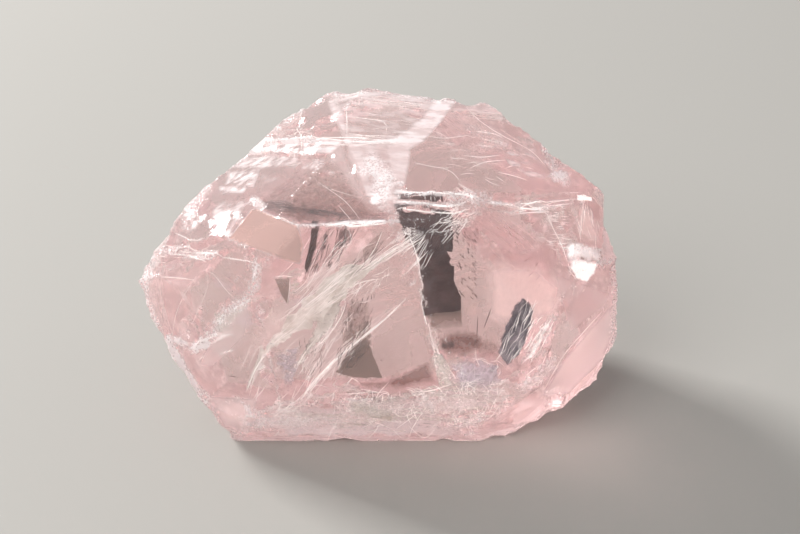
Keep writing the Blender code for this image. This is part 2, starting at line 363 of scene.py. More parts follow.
def level_out(mesh, chosen):
    """Give the triangles whose three corners are chosen one common normal."""
    corners = np.zeros(len(mesh.loops), int)
    mesh.loops.foreach_get("vertex_index", corners)
    normals = np.zeros(len(mesh.loops) * 3)
    mesh.corner_normals.foreach_get("vector", normals)
    normals = normals.reshape(-1, 3, 3)
    level = chosen[corners.reshape(-1, 3)].all(axis=1)
    middle = normals[level].mean(axis=(0, 1))
    normals[level] = middle / np.linalg.norm(middle)
    mesh.normals_split_custom_set(normals.reshape(-1, 3).tolist())


unbroken = 1.0 - patched(CLEAN_PLANES)
frosted = np.maximum(patched(FROST_PATCHES, rim=0.5), lined(FROST_LINES, reach=1.5))
marks = {
    "frost": frosted * facing * unbroken,
    "crumbled": lined(CRUMBLED, reach=1.4) * (facing * unbroken),
    "milky": patched(MILKY_PATCHES) * facing,
    "peachy": patched(PEACH_PATCH) * facing,
    "back": 1.0 - facing,
    "worn": np.clip(1.0 - ridge_distance / WORN_REACH_MM, 0.0, 1.0),
}
for name, values in marks.items():
    stone_mesh.attributes.new(name, "FLOAT", "POINT").data.foreach_set("value", values.astype(np.float32))
# The yellower facet is so even that it catches the light as one plane.
level_out(stone_mesh, marks["peachy"] > EVEN_FACET)


class Value:
    """A number in a material's node tree; Python's operators add the Math nodes."""

    def __init__(self, recipe, socket):
        self.recipe = recipe
        self.socket = socket

    def math(self, operation, *others):
        sockets = dict(enumerate((self,) + others))
        node = self.recipe.add("ShaderNodeMath", {"operation": operation}, sockets)
        return Value(self.recipe, node.outputs[0])

    def __add__(self, other):
        return self.math("ADD", other)

    __radd__ = __add__

    def __mul__(self, other):
        return self.math("MULTIPLY", other)

    __rmul__ = __mul__

    def __sub__(self, other):
        return self.math("SUBTRACT", other)

    def __rsub__(self, other):
        return (self * -1.0) + other

    def between(self, low, high):
        """0 at low, 1 at high, and smooth from one to the other."""
        node = self.recipe.add("ShaderNodeMapRange", {"interpolation_type": "SMOOTHSTEP"},
                               {"Value": self, "From Min": low, "From Max": high})
        return Value(self.recipe, node.outputs["Result"])


class Recipe:
    """The node tree of one material."""

    def __init__(self, name):
        self.material = bpy.data.materials.new(name)
        self.material.use_nodes = True
        self.material.cycles.emission_sampling = "NONE"
        self.tree = self.material.node_tree
        self.tree.nodes.clear()
        self.out = self.tree.nodes.new("ShaderNodeOutputMaterial")
        self.place = self.add("ShaderNodeTexCoord").outputs["Object"]

    def add(self, kind, settings=None, sockets=None):
        node = self.tree.nodes.new(kind)
        for name, value in (settings or {}).items():
            setattr(node, name, value)
        for name, value in (sockets or {}).items():
            value = value.socket if isinstance(value, Value) else value
            if isinstance(value, bpy.types.NodeSocket):
                self.tree.links.new(value, node.inputs[name])
            else:
                node.inputs[name].default_value = value
        return node

    def attribute(self, name):
        return Value(self, self.add("ShaderNodeAttribute", {"attribute_name": name}).outputs["Fac"])

    def grain(self, size, detail=3.0, stretch=(1.0, 1.0, 1.0), turn=(0.0, 0.0, 0.0), place=None):
        """Noise from 0 to 1 with blotches of about this size in millimetres."""
        mapped = self.add("ShaderNodeMapping", {}, {
            "Vector": place or self.place, "Rotation": turn,
            "Scale": [1.0 / (size * MM * along) for along in stretch]})
        node = self.add("ShaderNodeTexNoise", {}, {
            "Vector": mapped.outputs[0], "Scale": 1.0, "Detail": detail, "Roughness": 0.6})
        return Value(self, node.outputs[0])

    def mix(self, share, low, high):
        """A colour between two others."""
        return self.add("ShaderNodeMix", {"data_type": "RGBA"}, {0: share, 6: low, 7: high}).outputs[2]

    def blend(self, share, low, high):
        """A surface between two others."""
        return self.add("ShaderNodeMixShader", {}, {0: share, 1: low, 2: high}).outputs[0]

    def lit_through(self, tint, **sockets):
        """Diffuse light that comes from behind the surface."""
        return self.add("ShaderNodeBsdfTranslucent", {}, {"Color": tint, **sockets}).outputs[0]

    def painted_glow(self, tint, rough, glow):
        """A surface with a painted glow: a faint light of its own that stands in for lamp light."""
        return self.add("ShaderNodeBsdfPrincipled", {}, {
            "Base Color": tint, "Roughness": rough, "Emission Color": tint,
            "Emission Strength": glow}).outputs[0]

    def finish(self, surface):
        self.tree.links.new(surface, self.out.inputs["Surface"])
        return self.material


PINK_GLASS = (1.0, 0.96, 0.95, 1.0)
PINK_INSIDE = (0.85, 0.31, 0.30, 1.0)
PINK_DENSITY = 14.0
GLASS_BEND = 1.54
PINK_FROST = (0.95, 0.84, 0.83, 1.0)
PEACH_FROST = (0.68, 0.485, 0.44, 1.0)
WHITE_FROST = (0.90, 0.865, 0.86, 1.0)
RELIEF_DEPTH = 0.06 * MM


def crystal_recipe():
    """Clear pink crystal, frosted where it is broken or worn."""
    recipe = Recipe("pink_crystal")
    frosted, crumbs, milk, peach, back_side, edge = (
        recipe.attribute(name) for name in ("frost", "crumbled", "milky", "peachy", "back", "worn"))
    specks = recipe.grain(0.24).between(0.40, 0.62)
    chips = recipe.grain(0.8, detail=4.0).between(0.36, 0.64)
    streaks = recipe.grain(0.8, detail=4.0, stretch=(3.2, 1.0, 1.0), turn=(0.0, 0.0, 0.25))
    streaks = streaks.between(0.33, 0.67)
    patches = recipe.grain(4.5).between(0.46, 0.62)
    waves = recipe.add("ShaderNodeTexWave", {"wave_type": "RINGS", "rings_direction": "SPHERICAL"}, {
        "Vector": recipe.place, "Scale": 240.0, "Distortion": 7.0, "Detail": 3.0, "Detail Scale": 0.6})
    rings = Value(recipe, waves.outputs["Fac"])
    white = (frosted * (1.35 - (1.0 - streaks) * (frosted * 0.8 + 0.4)) + crumbs * (specks * 0.85 + 0.15)
             + edge * chips * specks * 0.8
             + back_side * (patches * 0.7 + 0.25) * (chips * 0.30 + streaks * 0.34)).between(0.16, 0.90)
    rough = 0.03 + back_side * (0.16 + patches * 0.2) + edge * 0.08 + white * 0.25
    relief = (specks * (crumbs + edge * 0.5 + back_side * patches * 0.2) + chips * (0.10 + crumbs * 0.5)
              + rings * (patches * 0.12 + back_side * 0.25) + frosted * streaks * 0.5)
    bump = recipe.add("ShaderNodeBump", {}, {"Strength": 0.45, "Distance": RELIEF_DEPTH, "Height": relief})
    glass = recipe.add("ShaderNodeBsdfPrincipled", {}, {
        "Base Color": PINK_GLASS, "Roughness": rough, "IOR": GLASS_BEND, "Transmission Weight": 1.0,
        "Normal": bump.outputs[0]}).outputs[0]
    tint = recipe.mix(peach.between(0.1, 0.6), recipe.mix(white, PINK_FROST, WHITE_FROST), PEACH_FROST)
    lit = recipe.add("ShaderNodeBsdfDiffuse", {}, {"Color": tint, "Normal": bump.outputs[0]}).outputs[0]
    chalk = recipe.blend(0.5, lit, recipe.lit_through(tint, Normal=bump.outputs[0]))
    inside = recipe.add("ShaderNodeVolumeAbsorption", {}, {"Color": PINK_INSIDE, "Density": PINK_DENSITY})
    recipe.tree.links.new(inside.outputs[0], recipe.out.inputs["Volume"])
    return recipe.finish(recipe.blend(white * 0.74 + 0.11 + milk + peach + back_side * 0.14, glass, chalk))


stone_mesh.materials.append(crystal_recipe())
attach(crystal, "root")
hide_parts("rough_diamond")

# Breaks and hazes inside the stone: thin films in the crystal. Each lies a little way behind the face
# that it is seen through, and its outline is laid out in pixels of the view from the front.
FILM_THICKNESS = 0.02 * MM
FILM_MARGIN = 0.2 * MM
FILM_STEP = 4.0
FILM_RIM_GAP = 0.6 * FILM_STEP
RIBBON_CELLS = 6
RIBBON_RAG_LENGTH, RIBBON_RAGS_ACROSS = 7.0, 3.0
FLAKE_RAG_LENGTH = 5.0
UV_LENGTH = 100.0
JUST_UNDER = 0.42
# The same ragged rims each time.
RAG_SEED = 7
noise.seed_set(RAG_SEED)


def sight_line(x, y):
    """Direction of the view through a pixel."""
    slope = Vector((x - HEART_PIXEL.x, HEART_PIXEL.y - y, -PIXELS_PER_SLOPE))
    return (camera_turn @ slope).normalized()


def face_at(x, y):
    """Place and outward direction of the flat face of the stone under a pixel."""
    place, outward, _, _ = clean_faces.ray_cast(camera.location, sight_line(x, y))
    return place, outward


def seen_inside(x, y, depth, face=None):
    """The point this many millimetres below a face that shows at a pixel, bent as light is in glass."""
    place, outward = face or face_at(x, y)
    if place is None:
        return None, None
    sight = sight_line(x, y)
    entry = camera.location + sight * ((place - camera.location).dot(outward) / sight.dot(outward))
    cosine = -sight.dot(outward)
    bent_cosine = math.sqrt(1.0 - (1.0 - cosine ** 2) / GLASS_BEND ** 2)
    bent = sight / GLASS_BEND + outward * (cosine / GLASS_BEND - bent_cosine)
    return entry - bent * (depth * MM / bent.dot(outward)), outward


def is_inside(point):
    """Whether a point lies inside the stone and clear of its faces."""
    if point is None:
        return False
    place, outward, _, distance = clean_faces.find_nearest(point)
    return (point - place).dot(outward) < 0 and distance > FILM_MARGIN


def smooth_path(path, step):
    """Points about a step apart on a smooth curve through the given points."""
    path = [np.array(point, float) for point in path]
    ends = [2 * path[0] - path[1]] + path + [2 * path[-1] - path[-2]]
    points = []
    for before, start, end, after in zip(ends, ends[1:], ends[2:], ends[3:]):
        count = max(1, round(float(np.linalg.norm((end - start)[:2])) / step))
        for share in np.arange(count) / count:
            points.append(0.5 * (2 * start + (end - before) * share
                                 + (2 * before - 5 * start + 4 * end - after) * share ** 2
                                 + (3 * start - before - 3 * end + after) * share ** 3))
    return points + [path[-1]]


def whole_sheet(triangles):
    """The triangles without those at corners where a sheet would hang together by one point."""
    while True:
        sides = {(a, b) for tri in triangles for a, b in zip(tri, tri[1:] + tri[:1])}
        rim = [a for a, b in sorted(sides) if (b, a) not in sides]
        pinched = {corner for corner in rim if rim.count(corner) > 1}
        if not pinched:
            return triangles
        triangles = [tri for tri in triangles if not pinched & set(tri)]


class Film:
    """Thin closed sheets inside the stone, gathered into one mesh."""

    def __init__(self, name):
        self.name = name
        self.points = []
        self.faces = []
        self.places = []
        self.covers = []

    def sheet(self, spots, uvs, covers, triangles, face):
        """Give a layer of spots (x, y, depth) a thickness and add it."""
        first = len(self.points)
        seen = [seen_inside(x, y, depth, face) for x, y, depth in spots]
        kept = [is_inside(point) for point, _ in seen]
        triangles = whole_sheet([tri for tri in triangles if all(kept[corner] for corner in tri)])
        used = sorted({corner for tri in triangles for corner in tri})
        renumbered = {corner: index for index, corner in enumerate(used)}
        triangles = [[renumbered[corner] for corner in tri] for tri in triangles]
        seen = [seen[corner] for corner in used]
        half = FILM_THICKNESS * 0.5
        self.points += [point + outward * half for point, outward in seen]
        self.points += [point - outward * half for point, outward in seen]
        self.places += [uvs[corner] for corner in used] * 2
        self.covers += [covers[corner] for corner in used] * 2
        count = len(seen)
        lean = sum(((seen[b][0] - seen[a][0]).cross(seen[c][0] - seen[a][0]).dot(seen[a][1])
                    for a, b, c in triangles))
        if lean < 0:
            triangles = [tri[::-1] for tri in triangles]
        sides = {(a, b) for tri in triangles for a, b in zip(tri, tri[1:] + tri[:1])}
        self.faces += [[first + corner for corner in tri] for tri in triangles]
        self.faces += [[first + count + corner for corner in tri[::-1]] for tri in triangles]
        self.faces += [[first + a, first + count + a, first + count + b, first + b]
                       for a, b in sorted(sides) if (b, a) not in sides]

    def ribbon(self, path, face, ragged):
        """Sheet along a path of (x, y, width, depth at one side, depth at the other)."""
        points = smooth_path(path, FILM_STEP)
        spots, uvs = [], []
        travelled = 0.0
        for number, (x, y, width, near, far) in enumerate(points):
            along = (points[min(number + 1, len(points) - 1)] - points[max(number - 1, 0)])[:2]
            across = np.array((-along[1], along[0])) / max(1e-6, float(np.linalg.norm(along)))
            if number:
                travelled += float(np.linalg.norm((points[number] - points[number - 1])[:2]))
            for cell in range(RIBBON_CELLS + 1):
                share = cell / RIBBON_CELLS
                rag = Vector((travelled / RIBBON_RAG_LENGTH, share * RIBBON_RAGS_ACROSS, path[0][0] + 0.5))
                jag = ragged * noise.noise(rag)
                spot = np.array((x, y)) + across * width * (share - 0.5) * (1.0 + jag)
                spots.append((spot[0], spot[1], near + (far - near) * share))
                uvs.append((travelled / UV_LENGTH, share))
        wide = RIBBON_CELLS + 1
        triangles = []
        for row in range(len(points) - 1):
            for a in range(row * wide, row * wide + RIBBON_CELLS):
                triangles += [[a, a + 1, a + wide + 1], [a, a + wide + 1, a + wide]]
        self.sheet(spots, uvs, [1.0] * len(spots), triangles, face)

    def flake(self, depth, face, top, foot, soft, ragged, *outline):
        """Sheet inside an outline of pixels, this many millimetres below a face (or below whatever face
        shows there). It covers top at its upper end and foot at its lower one, and fades out over soft
        pixels; ragged is how far its rim strays, in pixels."""
        rim = []
        for (x0, y0), (x1, y1) in zip(outline, outline[1:] + outline[:1]):
            count = max(1, round(math.hypot(x1 - x0, y1 - y0) / FILM_STEP))
            for step in range(count):
                x, y = x0 + (x1 - x0) * step / count, y0 + (y1 - y0) * step / count
                rag = Vector((x / FLAKE_RAG_LENGTH, y / FLAKE_RAG_LENGTH, depth))
                shift = noise.noise_vector(rag) * ragged
                rim.append((x + shift.x, y + shift.y))
        rim = np.array(rim)
        low, high = rim.min(axis=0), rim.max(axis=0)
        filling = clear_of(even_grid(low, high, FILM_STEP), rim, FILM_RIM_GAP)
        flat = [Vector(point) for point in rim] + [Vector(point) for point in filling]
        found, _, pieces, _, _, _ = delaunay_2d_cdt(flat, [], [list(range(len(rim)))], 1, 1e-9)
        used = sorted({corner for piece in pieces for corner in piece})
        number = {corner: index for index, corner in enumerate(used)}
        places = np.array([found[corner][:] for corner in used])
        shares = (places - low) / (high - low)
        covers = top + (foot - top) * shares[:, 1]
        if soft:
            covers = covers * np.clip(patch_depth(places, rim) / soft, 0.0, 1.0)
        self.sheet([(x, y, depth) for x, y in places], [(x, 1.0 - y) for x, y in shares], covers.tolist(),
                   [[number[corner] for corner in piece] for piece in pieces], face)

    def flakes(self, *rows):
        """Several flakes, each a row of (depth, face, top, foot, soft, ragged, corners...)."""
        for row in rows:
            self.flake(*row)

    def finish(self, material):
        """Make the mesh and let it ride on the stone."""
        mesh = bpy.data.meshes.new(self.name)
        mesh.from_pydata(self.points, [], self.faces)
        layer = mesh.uv_layers.new(name="UVMap")
        for loop in mesh.loops:
            layer.data[loop.index].uv = self.places[loop.vertex_index]
        mesh.attributes.new("cover", "FLOAT", "POINT").data.foreach_set("value", self.covers)
        mesh.materials.append(material)
        piece = bpy.data.objects.new(self.name, mesh)
        bpy.context.scene.collection.objects.link(piece)
        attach(piece, "root")


def film_recipe(name, colour, patchy, fibrous=0.0, glow=0.0, other=None):
    """Thin film of one colour, patchy or fibrous, clear where nothing covers it; glow gives it a painted
    light of its own.
    """
    recipe = Recipe(name)
    crumbs = recipe.grain(0.45, detail=4.0)
    cover = recipe.attribute("cover") * (1.0 + patchy * 0.5) + (crumbs - 0.5) * patchy * 2.0
    if fibrous:
        uv = recipe.add("ShaderNodeUVMap").outputs["UV"]
        fibres = recipe.grain(1.0, detail=4.0, stretch=(0.22 / MM, 0.075 / MM, 1.0), place=uv)
        cover = cover + (fibres - 0.5) * fibrous * 3.0
    tint = colour + (1.0,)
    if other:
        tint = recipe.mix(recipe.grain(1.6, detail=4.0).between(0.35, 0.65), tint, other + (1.0,))
    clear = recipe.add("ShaderNodeBsdfTransparent").outputs[0]
    if glow:
        body = recipe.painted_glow(tint, 0.5, glow)
    else:
        body = recipe.add("ShaderNodeBsdfDiffuse", {}, {"Color": tint}).outputs[0]
    film = recipe.blend(0.35, body, recipe.lit_through(tint))
    return recipe.finish(recipe.blend(cover.between(0.1, 0.9), clear, film))


FRONT = face_at(330, 330)

# Silvery veils: healed cracks full of air. The largest cross the glassiest face like crumpled foil,
# and a tangle of thinner ones lies over the resting face.
veils = Film("silvery_veils")
veils.ribbon([(396, 250, 2, 1.8, 2.0), (380, 260, 5, 2.0, 2.4), (362, 273, 8, 2.0, 3.0),
             (342, 287, 15, 2.0, 3.5), (322, 302, 19, 2.2, 4.0), (304, 316, 22, 2.4, 4.2),
             (286, 332, 17, 2.6, 4.2), (272, 346, 8, 2.8, 3.4), (262, 364, 3, 3.0, 3.2),
             (248, 392, 2, 3.0, 3.0)], FRONT, ragged=0.8)
veils.ribbon([(364, 266, 2, 1.8, 2.2), (348, 271, 12, 2.0, 3.0), (332, 282, 13, 2.2, 3.0),
             (316, 293, 3, 2.4, 2.6)], FRONT, ragged=0.6)
veils.flakes(
    (2.6, FRONT, 0.85, 0.65, 1.5, 1.0, (336, 293), (344, 298), (342, 308), (334, 326), (312, 350),
     (300, 372), (296, 362), (308, 340), (320, 312)),
    (1.6, FRONT, 0.35, 0.55, 2, 1.2, (428, 328), (432, 345), (447, 362), (453, 386), (440, 390),
     (432, 360)),
    (0.9, None, 0.4, 0.25, 14, 1.2, (350, 390), (410, 384), (470, 372), (500, 366), (505, 385),
     (480, 402), (440, 408), (380, 412), (330, 404)),
    (0.7, None, 0.2, 0.3, 16, 1.2, (275, 404), (340, 396), (420, 398), (500, 386), (524, 396),
     (480, 430), (400, 436), (300, 436), (272, 426)),
    (0.5, None, 0.7, 0.3, 6, 1.2, (345, 398), (372, 402), (392, 408), (403, 428), (380, 424),
     (350, 416)),
    (0.5, None, 0.5, 0.5, 5, 1.2, (213, 312), (232, 308), (244, 300), (252, 292), (256, 300),
     (240, 318), (226, 334), (214, 338)),
    (2.2, FRONT, 0.3, 0.2, 4, 1.2, (272, 276), (292, 268), (306, 268), (300, 290), (290, 306),
     (282, 300)))
# Their pale colour is their own; their faint glow is painted light.
veils.finish(film_recipe("silvery_veil", (0.92, 0.91, 0.87), patchy=0.55, fibrous=0.65, glow=0.1,
                         other=(0.76, 0.73, 0.68)))

# Dark painted reflections: cracks so smooth that they would mirror the shaded side of the room; that
# reflection of shade is painted as an almost black colour on the films.
# The largest stands below the stepped ridge at the front.
dark_reflections = Film("dark_painted_reflections")
dark_reflections.flakes(
    (2.4, FRONT, 1.0, 0.9, 0, 1.3, (412, 243), (424, 238), (436, 240), (447, 238), (453, 250),
     (453, 285), (459, 300), (459, 314), (424, 316), (419, 285)),
    (2.2, None, 0.95, 1.0, 0, 1.2, (398, 211), (418, 214), (452, 216), (454, 232), (452, 252),
     (436, 250), (416, 254), (409, 238), (402, 224)),
    (0.6, None, 0.9, 0.9, 0, 0.6, (395, 193), (443, 195), (444, 200), (398, 199)),
    (1.8, FRONT, 0.95, 0.8, 0, 0.8, (312, 228), (318, 229), (316, 246), (311, 262), (307, 273),
     (304, 268), (309, 248)),
    (1.8, FRONT, 0.75, 0.5, 0.7, 0.8, (325, 230), (331, 230), (327, 248), (317, 268), (314, 266),
     (320, 250)),
    (2.1, FRONT, 0.5, 0.3, 3, 1.2, (338, 229), (357, 228), (348, 244), (336, 256), (332, 246)),
    (2.0, FRONT, 0.5, 0.6, 4, 1.2, (437, 344), (446, 341), (455, 343), (452, 351), (442, 354)),
    (0.8, None, 0.48, 0.45, 5, 1.2, (262, 198), (290, 204), (325, 208), (322, 214), (290, 213),
     (266, 209)))
dark_reflections.finish(film_recipe("dark_painted_reflection", (0.075, 0.028, 0.028), patchy=0.2, other=(0.15, 0.07, 0.065)))

# Grey painted reflections: the same kind of crack, tilted so that it would mirror a paler part of the
# room; that reflection is painted as a greyish colour on the films. They flank the veils and the darkest
# break.
grey = Film("grey_painted_reflections")
grey.flakes(
    (2.3, FRONT, 0.35, 0.6, 3, 1.5, (360, 320), (372, 318), (374, 345), (352, 372), (344, 368),
     (352, 345)),
    (2.6, FRONT, 0.8, 1.0, 0, 1.2, (366, 338), (372, 352), (382, 378), (352, 377), (336, 372),
     (344, 358), (354, 346)),
    (2.6, FRONT, 0.95, 0.25, 0, 1.2, (424, 310), (459, 308), (460, 330), (432, 331)),
    (2.0, FRONT, 0.35, 0.35, 0, 0.4, (363, 250), (372, 240), (382, 232), (376, 254), (364, 263)),
    (2.0, FRONT, 0.4, 0.7, 0, 0.4, (275, 279), (290, 278), (288, 305), (281, 294)),
    (2.6, FRONT, 0.35, 0.3, 5, 1.2, (272, 355), (300, 345), (297, 375), (288, 400), (278, 375)),
    (0.8, None, 0.5, 0.4, 2, 1.2, (320, 208), (360, 212), (395, 219), (345, 217), (318, 214)),
    (2.7, FRONT, 0.3, 0.5, 6, 1.2, (346, 296), (372, 298), (374, 318), (366, 338), (348, 352),
     (338, 350)))
grey.finish(film_recipe("grey_painted_reflection", (0.42, 0.32, 0.28), patchy=0.2))

# The slate break: one ragged bluish-grey flake under the right-hand face, and two scraps of it lower
# down.
slate = Film("slate_break")
slate.flakes(
    (1.2, None, 0.95, 0.8, 1.5, 2.4, (524, 297), (532, 303), (533, 320), (528, 340), (520, 355),
     (506, 368), (497, 352), (500, 338), (505, 325), (512, 308)),
    (1.0, None, 0.5, 0.5, 3, 1.2, (487, 364), (500, 364), (497, 376), (488, 374)),
    (0.8, None, 0.6, 0.6, 1.5, 1.2, (547, 366), (553, 366), (553, 377), (548, 377)))
slate.finish(film_recipe("slate_break", (0.1, 0.1, 0.13), patchy=0.8, other=(0.46, 0.43, 0.48)))

# Painted highlights: cracks just under the surface that would throw the window light straight back,
# painted as white films with a glow of their own, most of all in the notch on the right-hand edge.
painted_highlights = Film("bright_painted_highlights")
painted_highlights.flakes(
    (JUST_UNDER, None, 1.0, 1.0, 0.8, 1.2, (567, 262), (580, 259), (599, 262), (596, 275), (587, 283),
     (576, 279)),
    (JUST_UNDER + 0.06, None, 0.45, 0.6, 2, 1.2, (567, 244), (582, 241), (601, 252), (600, 262),
     (580, 259), (568, 262)),
    (JUST_UNDER, None, 0.8, 0.8, 0, 1.2, (577, 196), (592, 197), (592, 201), (577, 200)),
    (JUST_UNDER, None, 0.7, 0.7, 1.5, 1.2, (370, 196), (384, 192), (380, 203), (368, 207)),
    (JUST_UNDER, None, 0.6, 0.6, 3, 1.2, (188, 220), (198, 216), (201, 226), (193, 233)),
    (0.8, None, 0.35, 0.35, 3, 1.2, (555, 297), (566, 294), (568, 306), (559, 308)))
painted_highlights.finish(film_recipe("bright_painted_highlight", (1.0, 0.96, 0.95), patchy=0.22, glow=0.55))

# Brown hazes: clouds of fine dust, under the arched hollow at the top and behind the foot of the
# clearest face.
rust = Film("brown_hazes")
rust.flakes(
    (2.4, FRONT, 0.55, 0.45, 9, 1.2, (432, 335), (455, 330), (474, 332), (486, 340), (484, 354),
     (466, 362), (444, 362), (436, 350)),
    (0.8, None, 0.35, 0.3, 8, 1.2, (470, 334), (492, 334), (506, 346), (500, 362), (478, 362),
     (468, 350)),
    (2.4, FRONT, 0.6, 0.5, 8, 1.2, (352, 379), (385, 378), (410, 366), (430, 356), (440, 384),
     (400, 392), (360, 391)),
    (0.6, None, 0.15, 0.5, 5, 1.2, (256, 200), (275, 183), (295, 170), (320, 167), (345, 178),
     (360, 195), (372, 208), (395, 219), (345, 222), (300, 224), (262, 212)),
    (0.7, None, 0.55, 0.5, 4, 1.2, (258, 196), (285, 203), (320, 207), (350, 211), (378, 217),
     (345, 219), (300, 216), (264, 208)))
rust.finish(film_recipe("brown_haze", (0.36, 0.19, 0.165), patchy=0.25))

# Milky hazes: clouds of bubbles too small to see, which make the clear crystal softly pale.
# Each fades out towards its rim. Their pale colour is their own; their glow is painted light.
milk = Film("milky_haze")
milk.flakes(
    (1.7, None, 0.42, 0.52, 24, 1.2, (474, 254), (505, 248), (545, 252), (580, 284), (566, 325),
     (530, 340), (500, 338), (474, 326)),
    (1.9, FRONT, 0.12, 0.22, 5, 1.2, (385, 262), (404, 252), (416, 300), (430, 350), (436, 382),
     (398, 384), (380, 330)),
    (1.0, None, 0.4, 0.4, 10, 1.2, (205, 395), (262, 398), (250, 430), (225, 428)),
    (1.0, None, 0.38, 0.38, 8, 1.2, (590, 310), (606, 330), (590, 372), (560, 388), (545, 384),
     (566, 352)),
    (0.8, None, 0.4, 0.4, 6, 1.2, (576, 205), (592, 206), (606, 250), (590, 245), (574, 236)),
    (0.9, None, 0.3, 0.3, 8, 1.2, (150, 300), (180, 345), (200, 380), (222, 360), (190, 330),
     (168, 300)),
    (1.2, None, 0.18, 0.18, 14, 1.2, (166, 262), (222, 268), (242, 278), (228, 302), (196, 338),
     (164, 325), (156, 290)),
    (1.0, None, 0.3, 0.3, 14, 1.2, (262, 302), (300, 300), (290, 340), (268, 352), (232, 392),
     (222, 372), (246, 330)))
milk.finish(film_recipe("milky_haze", (1.0, 0.82, 0.79), patchy=0.05, glow=0.36))

# Lavender hazes: the same bubbles, finer still, so that they scatter a cold light.
# They lie low in the stone. Their faint glow is painted light.
lavender = Film("lavender_haze")
lavender.flakes(
    (0.8, None, 0.48, 0.48, 12, 1.2, (445, 360), (470, 352), (500, 362), (508, 380), (490, 394),
     (455, 392)),
    (2.4, FRONT, 0.35, 0.3, 5, 1.2, (272, 352), (300, 345), (300, 372), (288, 398), (278, 375)))
lavender.finish(film_recipe("lavender_haze", (0.76, 0.7, 0.76), patchy=0.7, glow=0.1))

# The pale plane: one smooth flat crack beside the darkest break; the light it catches is painted, as a
# glow of its own.
# It is hardly denser than the crystal.
pale = Film("pale_planes")
pale.flake(1.2, None, 0.15, 0.3, 2, 0.5, (453, 228), (478, 228), (479, 318), (462, 318), (459, 298),
           (454, 285))
pale.finish(film_recipe("pale_plane", (0.78, 0.585, 0.52), patchy=0.03, glow=0.36))

# Fibres: the finest cracks and healed needles in the stone, each thinner than a hair. They follow
# the breaks in bundles, or lie scattered; the ones that meet the air at a ridge look brightest, partly
# through a painted glow.
FIBRE_STEP = 5.0
PIXEL_SIZE = 0.105 * MM
TIP_THICKNESS, TIP_TAPER = 0.25, 5.0
THREAD_SIDES = 3
VEIN_BENDS = (-1.0, -0.6, -0.2, 0.2, 0.6, 1.0)


